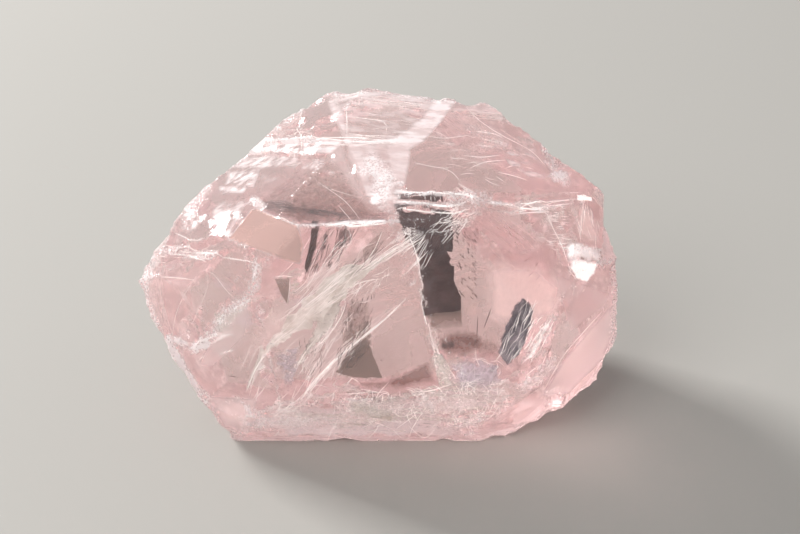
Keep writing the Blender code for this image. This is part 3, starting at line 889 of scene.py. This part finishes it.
class Fibres:
    """Threads inside the stone, gathered as chains of edges and made round at the end."""

    def __init__(self, name, seed):
        self.name = name
        self.chance = random.Random(seed)
        self.points = []
        self.edges = []
        self.thickness = []

    def line(self, width, *path, depth=JUST_UNDER, face=None):
        """One thread through pixels, pointed at both ends."""
        points = smooth_path(path, FIBRE_STEP)
        if face or all(face_at(x, y)[0] is not None for x, y in points):
            self.thread([seen_inside(x, y, depth, face)[0] for x, y in points], width)

    def thread(self, spots, width):
        """The longest run of spots that lies inside the stone, as one thread."""
        run = []
        longest = []
        for point in spots:
            run = run + [point] if is_inside(point) else []
            longest = max(longest, run, key=len)
        if len(longest) < 2:
            return
        for number, point in enumerate(longest):
            share = number / (len(longest) - 1)
            full = min(1.0, TIP_TAPER * share * (1.0 - share))
            self.points.append(point)
            thick = TIP_THICKNESS + (1.0 - TIP_THICKNESS) * full
            self.thickness.append(0.5 * width * PIXEL_SIZE * thick)
            if number:
                self.edges.append((len(self.points) - 2, len(self.points) - 1))

    def vein(self, count, bearing, rise, slant, length, spread, depth, width):
        """A veil of threads under the face that looks towards a bearing and a rise, in degrees."""
        turn, lift, lean = math.radians(bearing), math.radians(rise), math.radians(slant)
        heading = Vector((math.cos(turn) * math.cos(lift), math.sin(turn) * math.cos(lift),
                          math.sin(lift)))
        place, outward, _, _ = clean_faces.ray_cast(STONE_HEART, heading)
        level = outward.cross(Vector((0.0, 0.0, 1.0))).normalized()
        along = level * math.cos(lean) + level.cross(outward) * math.sin(lean)
        side = along.cross(outward)
        for _ in range(count):
            middle = (place - outward * (depth * self.chance.uniform(0.5, 1.6))
                      + side * self.chance.gauss(0.0, spread)
                      + along * self.chance.uniform(-0.5, 0.5) * length)
            reach = length * self.chance.uniform(0.15, 0.5)
            bend, tilt = self.chance.gauss(0.0, 0.12), self.chance.gauss(0.0, 0.15)
            spots = [middle + along * (reach * share)
                     + side * (reach * (bend * share * share + tilt * share)) for share in VEIN_BENDS]
            self.thread(spots, width * self.chance.uniform(0.5, 1.0))

    def bundle(self, count, spread, width, path, depth=JUST_UNDER, face=None, length=0.5):
        """Threads that run along part of a path, side by side, spread over a width."""
        points = np.array(smooth_path(path, 2.0))
        for _ in range(count):
            share = length * self.chance.uniform(0.5, 1.5)
            first = int(self.chance.uniform(0.0, max(0.0, 1.0 - share)) * (len(points) - 1))
            last = min(len(points) - 1, first + max(3, int(share * len(points))))
            start, end = points[first], points[last]
            middle = points[(first + last) // 2]
            ahead = end - start
            side = np.array((-ahead[1], ahead[0])) / max(1.0, float(np.linalg.norm(ahead)))
            shifts = (np.array([self.chance.gauss(0.0, 0.5)] * 3)
                      + [self.chance.gauss(0.0, 0.12) for _ in range(3)])
            thick = width * self.chance.uniform(0.4, 1.0)
            spots = [tuple(spot + side * spread * shift)
                     for spot, shift in zip((start, middle, end), shifts)]
            self.line(thick, *spots, depth=depth, face=face)

    def scatter(self, count, outline, length, angle, jitter, width, depth=JUST_UNDER, face=None, bend=0.1):
        """Short threads strewn inside an outline, all heading about one way (in degrees, clockwise)."""
        low, high = np.array(outline).min(axis=0), np.array(outline).max(axis=0)
        made = 0
        while made < count:
            spot = np.array([self.chance.uniform(low[0], high[0]), self.chance.uniform(low[1], high[1])])
            if patch_depth(spot[None], outline)[0] < 0:
                continue
            heading = math.radians(angle + self.chance.uniform(-jitter, jitter))
            along = np.array((math.cos(heading), math.sin(heading)))
            along = along * length * self.chance.uniform(0.25, 0.75)
            side = np.array((-along[1], along[0])) * self.chance.uniform(-bend, bend) * 2.0
            self.line(width * self.chance.uniform(0.4, 1.0), tuple(spot - along), tuple(spot + side),
                      tuple(spot + along), depth=depth, face=face)
            made += 1

    def finish(self, material):
        """Make the round threads and let them ride on the stone."""
        mesh = bpy.data.meshes.new(self.name)
        mesh.from_pydata(self.points, self.edges, [])
        mesh.attributes.new("thickness", "FLOAT", "POINT").data.foreach_set("value", self.thickness)
        piece = bpy.data.objects.new(self.name, mesh)
        bpy.context.scene.collection.objects.link(piece)
        modifier = piece.modifiers.new("round_threads", "NODES")
        modifier.node_group = round_threads
        for item in round_threads.interface.items_tree:
            if item.in_out == "INPUT" and item.name in ("Sides", "Material"):
                modifier[item.identifier] = {"Sides": THREAD_SIDES, "Material": material}[item.name]
        shaped = piece.evaluated_get(bpy.context.evaluated_depsgraph_get())
        piece_mesh = bpy.data.meshes.new_from_object(shaped)
        piece.modifiers.remove(modifier)
        piece.data = piece_mesh
        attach(piece, "root")


def thread_maker():
    """Geometry Nodes: every chain of edges becomes a closed round thread."""
    tree = bpy.data.node_groups.new("round_threads", "GeometryNodeTree")
    for name, kind in (("Chains", "NodeSocketGeometry"), ("Sides", "NodeSocketInt"),
                       ("Material", "NodeSocketMaterial")):
        tree.interface.new_socket(name, in_out="INPUT", socket_type=kind)
    tree.interface.new_socket("Threads", in_out="OUTPUT", socket_type="NodeSocketGeometry")
    source, result = tree.nodes.new("NodeGroupInput"), tree.nodes.new("NodeGroupOutput")
    curves = tree.nodes.new("GeometryNodeMeshToCurve")
    thick = tree.nodes.new("GeometryNodeInputNamedAttribute")
    thick.inputs["Name"].default_value = "thickness"
    ring = tree.nodes.new("GeometryNodeCurvePrimitiveCircle")
    ring.inputs["Radius"].default_value = 1.0
    skin = tree.nodes.new("GeometryNodeCurveToMesh")
    skin.inputs["Fill Caps"].default_value = True
    real = tree.nodes.new("GeometryNodeRealizeInstances")
    painted = tree.nodes.new("GeometryNodeSetMaterial")
    for start, end in ((source.outputs["Chains"], curves.inputs["Mesh"]),
                       (curves.outputs["Curve"], skin.inputs["Curve"]),
                       (thick.outputs["Attribute"], skin.inputs["Scale"]),
                       (source.outputs["Sides"], ring.inputs["Resolution"]),
                       (ring.outputs["Curve"], skin.inputs["Profile Curve"]),
                       (skin.outputs["Mesh"], real.inputs["Geometry"]),
                       (real.outputs["Geometry"], painted.inputs["Geometry"]),
                       (source.outputs["Material"], painted.inputs["Material"]),
                       (painted.outputs["Geometry"], result.inputs["Threads"])):
        tree.links.new(start, end)
    return tree


def fibre_recipe(name, colour, glow):
    """Plain thread of air or of dark dust; glow gives it a painted light of its own."""
    recipe = Recipe(name)
    dim = tuple(part * 0.8 for part in colour) + (1.0,)
    tint = recipe.mix(recipe.grain(0.5), dim, colour + (1.0,))
    body = recipe.painted_glow(tint, 0.4, glow)
    return recipe.finish(recipe.blend(0.3, body, recipe.lit_through(tint)))


round_threads = thread_maker()

# Deep fibres: veins of healed needles under the faces at the back and the sides, each row one vein:
# (threads, bearing and rise of the face, slant, length and spread in millimetres).
DEEP_DEPTH = 0.7 * MM
DEEP_WIDTH = 1.1
deep = Fibres("deep_fibres", 6)
for count, bearing, rise, slant, length, spread in (
        (60, 118, 12, 52, 11.0, 1.5), (40, 100, 35, 58, 9.0, 1.2), (45, 65, 5, -35, 9.0, 1.4),
        (30, 75, -20, 12, 10.0, 1.0), (40, 150, -12, 40, 9.0, 1.3), (30, 178, 8, 65, 7.0, 1.0),
        (40, 20, 10, -55, 8.0, 1.1), (24, 40, 35, -28, 7.0, 1.0), (26, 90, 60, 20, 8.0, 1.0),
        (24, 135, 40, 62, 6.0, 0.9), (20, 10, -15, -60, 6.0, 0.8)):
    deep.vein(count, bearing, rise, slant, length * MM, spread * MM, DEEP_DEPTH, DEEP_WIDTH)
# Their faint glow is painted light.
deep.finish(fibre_recipe("deep_fibre", (1.0, 0.95, 0.93), 0.25))

# Bright fibres: needles and hair cracks full of air. Where one meets the air, at a ridge or a step,
# it looks white; the light they catch is painted, as a strong glow of their own.
bright = Fibres("bright_fibres", 3)
# Along the worn ridges and steps.
for width, *path in (
        (2.4, (296, 226), (320, 226), (350, 224), (380, 221), (400, 221), (420, 220)),
        (2.2, (395, 191), (430, 193), (467, 195)), (2.6, (396, 201), (425, 203), (455, 205), (470, 200)),
        (1.8, (396, 208), (425, 212), (455, 214), (470, 208)),
        (3.0, (488, 204), (494, 203.5), (500, 204)), (1.6, (497, 205), (520, 206.5), (547, 209)),
        (1.2, (515, 202), (547, 201.5), (575, 199)), (1.0, (253, 209), (275, 217), (297, 226)),
        (1.2, (178, 252), (200, 253), (215, 253.5), (222, 258)),
        (1.4, (168, 254), (190, 256), (206, 262)), (1.0, (160, 277), (178, 278), (194, 280)),
        (1.3, (222, 258), (240, 260), (256, 263)), (1.2, (175, 233), (184, 237), (192, 240), (203, 239)),
        (1.2, (345, 116), (365, 118.5), (383, 121), (387, 126), (386, 132)),
        (1.2, (346, 104), (347, 120), (347, 137)), (1.0, (348, 133), (368, 136), (385, 138)),
        (1.1, (302, 110), (298, 128), (301, 137), (301, 152)),
        (1.6, (300, 139), (320, 138), (350, 141), (380, 141), (411, 140)),
        (1.1, (310, 142), (350, 145), (380, 143), (408, 144)), (0.9, (427, 136), (445, 138), (470, 135)),
        (0.7, (440, 142), (455, 144)), (1.1, (475, 131), (495, 134), (503, 138)),
        (0.9, (480, 138), (500, 143)), (0.8, (476, 145), (495, 147)),
        (1.1, (463, 155), (480, 157), (500, 155)), (1.0, (470, 168), (485, 162), (505, 160)),
        (1.1, (498, 172), (515, 176), (527, 180)), (0.8, (412, 162), (430, 166), (445, 168), (452, 167)),
        (0.7, (442, 168), (452, 172), (462, 183)), (0.8, (496, 176), (505, 182)),
        (0.5, (315, 180), (330, 190), (346, 202), (360, 219)), (0.45, (338, 205), (352, 221)),
        (0.4, (320, 185), (340, 192), (358, 197)), (0.5, (203, 270), (213, 274), (225, 289), (235, 300)),
        (0.45, (198, 274), (186, 292), (176, 314), (172, 336)),
        (0.35, (207, 272), (207, 288), (197, 312), (190, 325)),
        (0.9, (300, 398), (286, 408), (274, 418), (271, 428)), (0.7, (296, 404), (282, 416), (278, 428)),
        (0.7, (275, 277), (284, 276), (293, 277)), (0.4, (290, 277), (289, 292), (287, 305)),
        (0.9, (412, 392), (430, 391), (446, 386), (452, 384)), (0.9, (360, 384), (352, 378), (345, 388)),
        (0.8, (340, 388), (333, 385), (337, 380)), (0.9, (540, 345), (534, 352), (528, 358))):
    bright.line(width, *path)
# Across the front, a little deeper.
for width, depth, *path in (
        (1.4, 1.6, (470, 206), (450, 217), (432, 229), (410, 240), (392, 251), (378, 261), (366, 270)),
        (1.1, 1.6, (452, 224), (440, 240), (424, 256), (410, 268), (400, 276)),
        (2.2, 2.2, (406, 298), (388, 316), (370, 331), (352, 346), (334, 361), (314, 381), (302, 398)),
        (1.5, 2.4, (402, 230), (412, 256), (419, 292), (427, 328), (432, 350), (440, 386)),
        (1.1, 1.8, (431, 342), (440, 358), (450, 376), (455, 386)),
        (1.0, 2.6, (344, 298), (345, 306), (338, 322), (326, 338), (308, 354)),
        (0.9, 2.4, (380, 279), (366, 281), (352, 286)),
        (1.0, 2.0, (382, 232), (374, 250), (364, 264), (358, 270)),
        (1.2, 2.6, (276, 350), (264, 362), (254, 378), (246, 396))):
    bright.line(width, *path, depth=depth, face=FRONT)
# In the fan that runs down from the stepped ridge.
bright.bundle(14, 8.0, 0.8, [(468, 207), (440, 224), (412, 240), (380, 260), (360, 276)], 1.7, FRONT)
bright.bundle(16, 12.0, 0.7, [(474, 204), (456, 214), (438, 226), (422, 237)], 0.6)
bright.bundle(10, 8.0, 0.7, [(470, 206), (458, 224), (444, 240), (430, 254)], 0.9)
bright.scatter(14, [(402, 226), (416, 224), (418, 242), (406, 242)], 7, -30, 70, 0.9, 0.8, bend=0.6)
bright.bundle(14, 14.0, 0.8, [(455, 214), (436, 234), (418, 256), (404, 274)], 1.7, FRONT)
# Around the veils across the front.
bright.bundle(30, 17.0, 0.6, [(384, 258), (350, 282), (318, 304), (292, 328), (268, 350)], 2.2, FRONT,
              length=0.35)
bright.bundle(20, 6.0, 0.6, [(406, 298), (370, 331), (334, 361), (302, 396), (274, 424)], 2.3, FRONT,
              length=0.3)
bright.bundle(26, 26.0, 0.6, [(358, 229), (338, 256), (316, 280), (296, 304)], 1.7, FRONT, length=0.45)
bright.scatter(26, [(396, 222), (412, 216), (470, 206), (474, 214), (450, 236), (420, 262), (404, 262)],
               26, -38, 16, 0.75, 1.0, FRONT)
bright.scatter(24, [(352, 286), (372, 276), (384, 262), (400, 262), (372, 300), (350, 306)], 12, -40, 40,
               0.7, 1.7, FRONT)
bright.scatter(30, [(322, 326), (342, 304), (352, 318), (330, 350), (306, 376), (298, 366)], 12, -62, 25,
               0.65, 2.0, FRONT)
bright.scatter(24, [(338, 350), (366, 322), (366, 336), (344, 372), (320, 380)], 11, -52, 25, 0.65, 2.0,
               FRONT)
bright.bundle(16, 16.0, 0.7, [(300, 330), (276, 352), (258, 376), (244, 400)], 2.5, FRONT, length=0.4)
bright.bundle(16, 16.0, 0.7, [(345, 320), (322, 350), (300, 385), (276, 420)], 2.5, FRONT, length=0.35)
bright.bundle(10, 7.0, 0.8, [(428, 330), (436, 356), (446, 386)], 1.8, FRONT, length=0.5)
# Beside the slate break, in the hollow at the left and along the upper ridges.
bright.bundle(30, 8.0, 1.5, [(553, 314), (545, 330), (532, 352), (522, 366)], length=0.25)
bright.bundle(24, 8.0, 1.1, [(520, 390), (534, 380), (548, 370), (556, 350)], length=0.2)
bright.bundle(10, 10.0, 1.3, [(193, 349), (212, 343), (236, 334)], length=0.4)
bright.bundle(9, 6.0, 1.3, [(456, 186), (470, 195), (484, 204)], length=0.5)
bright.bundle(12, 8.0, 0.9, [(300, 138), (350, 140), (411, 141)], length=0.4)
bright.bundle(16, 9.0, 0.8, [(500, 204), (540, 205), (590, 198)], length=0.3)
# In the slate break, and in the tangle over the foot of the stone.
bright.scatter(44, [(498, 352), (526, 296), (536, 300), (532, 340), (508, 370)], 16, -62, 14, 0.8, 0.9)
bright.scatter(84, [(275, 400), (340, 388), (420, 392), (500, 372), (520, 392), (480, 428), (400, 436),
               (290, 434)], 22, -20, 55, 0.85, 0.6, bend=0.45)
bright.scatter(60, [(330, 392), (420, 394), (440, 408), (400, 424), (340, 416)], 12, 0, 90, 0.9, 0.5,
               bend=0.5)
bright.scatter(40, [(440, 398), (505, 380), (512, 400), (470, 420)], 12, -20, 90, 0.7, 0.5, bend=0.5)
bright.scatter(50, [(242, 420), (290, 404), (320, 418), (280, 436)], 12, -25, 40, 0.7, 0.5, bend=0.4)
bright.scatter(14, [(397, 193), (444, 195), (444, 200), (398, 200)], 5, 86, 10, 1.0, 0.5)
# In the notch and down the right-hand edge.
bright.line(0.9, (545, 209), (553, 228), (563, 247), (568, 262))
bright.line(0.9, (463, 103), (478, 119), (500, 134), (530, 150), (546, 166))
bright.scatter(22, [(574, 204), (594, 206), (603, 246), (578, 240)], 14, 82, 14, 0.8)
bright.scatter(16, [(540, 236), (566, 232), (572, 250), (556, 252)], 9, 8, 12, 0.8)
bright.line(0.8, (568, 262), (571, 272), (577, 280))
bright.line(0.6, (592, 288), (601, 299), (604, 312))
bright.line(0.8, (602, 312), (582, 334), (562, 358), (542, 394))
# Over the foot again, behind the hazes.
bright.scatter(40, [(440, 365), (470, 356), (505, 362), (500, 390), (450, 396)], 15, 40, 70, 0.8, 0.8,
               bend=0.3)
bright.scatter(30, [(410, 395), (455, 388), (470, 410), (400, 412)], 12, 0, 80, 0.8, 0.6, bend=0.4)
# Fine scratches on the upper faces.
bright.scatter(34, [(236, 140), (300, 132), (300, 165), (236, 170)], 16, -12, 12, 0.9, bend=0.15)
bright.scatter(24, [(430, 130), (520, 135), (545, 185), (470, 188)], 14, 12, 18, 0.8)
bright.scatter(26, [(546, 208), (566, 206), (566, 236), (552, 232)], 9, 2, 5, 0.8)
bright.scatter(20, [(145, 245), (215, 245), (215, 262), (150, 268)], 12, 6, 14, 0.8)
bright.scatter(18, [(352, 100), (440, 105), (410, 140), (352, 135)], 16, 5, 12, 0.8)
bright.scatter(18, [(365, 155), (400, 155), (395, 205), (375, 205)], 9, 70, 50, 0.9)
bright.finish(fibre_recipe("air_fibre", (1.0, 0.97, 0.95), 0.62))

# Dark fibres: the same needles filled with dust, so they look like soot. Most of them lie in the
# dark painted reflections and under the stepped ridge.
DUST_DEPTH = 0.7
dark = Fibres("dark_fibres", 4)
dark.scatter(90, [(453, 226), (478, 228), (476, 300), (461, 300)], 4, 55, 14, 1.2, 0.9)
dark.scatter(70, [(344, 296), (374, 296), (372, 322), (350, 352), (338, 352)], 7, -74, 18, 0.9, 1.9,
             FRONT)
dark.scatter(40, [(336, 350), (366, 336), (356, 372), (338, 374)], 7, -60, 18, 0.9, 1.9, FRONT)
dark.scatter(26, [(300, 340), (330, 345), (320, 372), (300, 372)], 7, -70, 30, 0.7, 2.2, FRONT)
dark.scatter(80, [(308, 230), (360, 228), (334, 266), (306, 276)], 13, -66, 10, 1.1, 1.75, FRONT)
dark.scatter(26, [(350, 262), (384, 240), (384, 252), (352, 276)], 10, -42, 12, 0.7, 1.9, FRONT)
dark.scatter(40, [(262, 198), (345, 212), (345, 218), (268, 210)], 14, 8, 10, 1.1, 0.5)
dark.scatter(30, [(405, 214), (448, 216), (450, 236), (420, 252)], 10, -50, 25, 0.9, 0.9)
dark.scatter(40, [(300, 404), (440, 400), (500, 396), (480, 426), (330, 432)], 5, 10, 60, 0.8)
dark.scatter(18, [(285, 172), (345, 172), (350, 190), (290, 190)], 3, 0, 60, 1.2)
dark.scatter(22, [(366, 152), (392, 152), (396, 186), (376, 190)], 3, 20, 60, 0.9)
dark.scatter(26, [(345, 392), (440, 392), (440, 402), (345, 404)], 9, 8, 20, 1.0, 0.8)
dark.scatter(8, [(520, 232), (540, 262), (540, 288), (525, 288)], 6, -60, 20, 1.0, 0.9)
for width, *path in (
        (1.2, (492, 306), (487, 320), (484, 328)), (1.0, (478, 316), (477, 335), (475, 346)),
        (1.6, (528, 394), (535, 390), (541, 386)), (1.2, (552, 345), (549, 358), (550, 368)),
        (1.4, (228, 376), (236, 377)), (1.4, (235, 262), (237, 264)), (2.4, (257, 321), (262, 323))):
    dark.line(width, *path, depth=DUST_DEPTH)
dark.finish(fibre_recipe("dust_fibre", (0.16, 0.1, 0.1), 0.0))

# The floor: a plain pale table top, matt, with hardly any grain.
FLOOR_SIZE = 3.0
FLOOR_GAP = 0.05 * MM
FLOOR_COLOUR = (0.27, 0.258, 0.238, 1.0)
bpy.ops.mesh.primitive_plane_add(size=FLOOR_SIZE)
floor = bpy.context.object
floor.name = "floor"
for corner in floor.data.vertices:
    corner.co.z = -FLOOR_GAP
table = Recipe("pale_table")
floor.data.materials.append(table.finish(table.add("ShaderNodeBsdfPrincipled", {}, {
    "Base Color": FLOOR_COLOUR, "Roughness": 0.85}).outputs[0]))

# Plain studio light: a soft window to the back left, and a pale room all around.
ROOM_COLOUR = (0.97, 0.98, 1.0, 1.0)
ROOM_STRENGTH = 0.71
room = bpy.data.worlds.new("room")
room.use_nodes = True
room.node_tree.nodes["Background"].inputs["Color"].default_value = ROOM_COLOUR
room.node_tree.nodes["Background"].inputs["Strength"].default_value = ROOM_STRENGTH
bpy.context.scene.world = room


def softbox(name, place, size, power):
    """A square lamp that faces the stone."""
    lamp = bpy.data.lights.new(name, "AREA")
    lamp.size = size
    lamp.energy = power
    stand = bpy.data.objects.new(name, lamp)
    stand.location = place
    stand.rotation_euler = (STONE_HEART - Vector(place)).to_track_quat("-Z", "Y").to_euler()
    bpy.context.scene.collection.objects.link(stand)


softbox("window_light", (-0.47, 0.36, 0.38), 0.22, 8.5)
softbox("front_light", (-0.35, -0.45, 0.55), 0.45, 4.0)

scene = bpy.context.scene
scene.view_settings.view_transform = "Standard"
scene.cycles.max_bounces = 24
scene.cycles.transmission_bounces = 20
scene.cycles.glossy_bounces = 12
scene.cycles.transparent_max_bounces = 32
